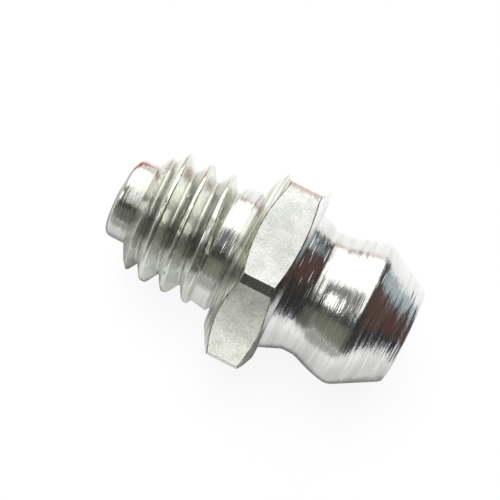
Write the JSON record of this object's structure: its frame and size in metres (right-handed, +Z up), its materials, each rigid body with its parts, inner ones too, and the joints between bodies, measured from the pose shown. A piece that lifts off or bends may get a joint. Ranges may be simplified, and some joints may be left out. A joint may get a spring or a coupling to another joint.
{
  "type": "grease nipple",
  "caption": "Straight grease nipple with a hexagon, a fine male thread and a ball head for a push-on coupler; a sprung check ball closes its mouth.",
  "frame": {"origin": "on the ground under the middle of the nipple's length, as it lies on one flat of its hexagon", "axes": "+X along the nipple's axis towards the ball head, +Z up out of the hexagon's upper flat"},
  "size_m": [0.0132, 0.009, 0.008],
  "materials": {
    "zinc_plated_steel": "bright zinc plate over turning marks",
    "ball_steel": "ground and polished",
    "spring_steel": "drawn wire, satin"
  },
  "bodies": {
    "nipple": {"nipple_body": "zinc_plated_steel", "return_spring": "spring_steel"},
    "ball": {"check_ball": "ball_steel"}
  },
  "joints": [
    {"name": "ball_lift", "type": "slide", "parent": "nipple", "child": "ball", "axis": [-1, 0, 0], "range_m": [0, 0.0008], "stiffness_N_per_m": 950, "springref_m": -0.0004, "deforming": ["return_spring"]}
  ]
}
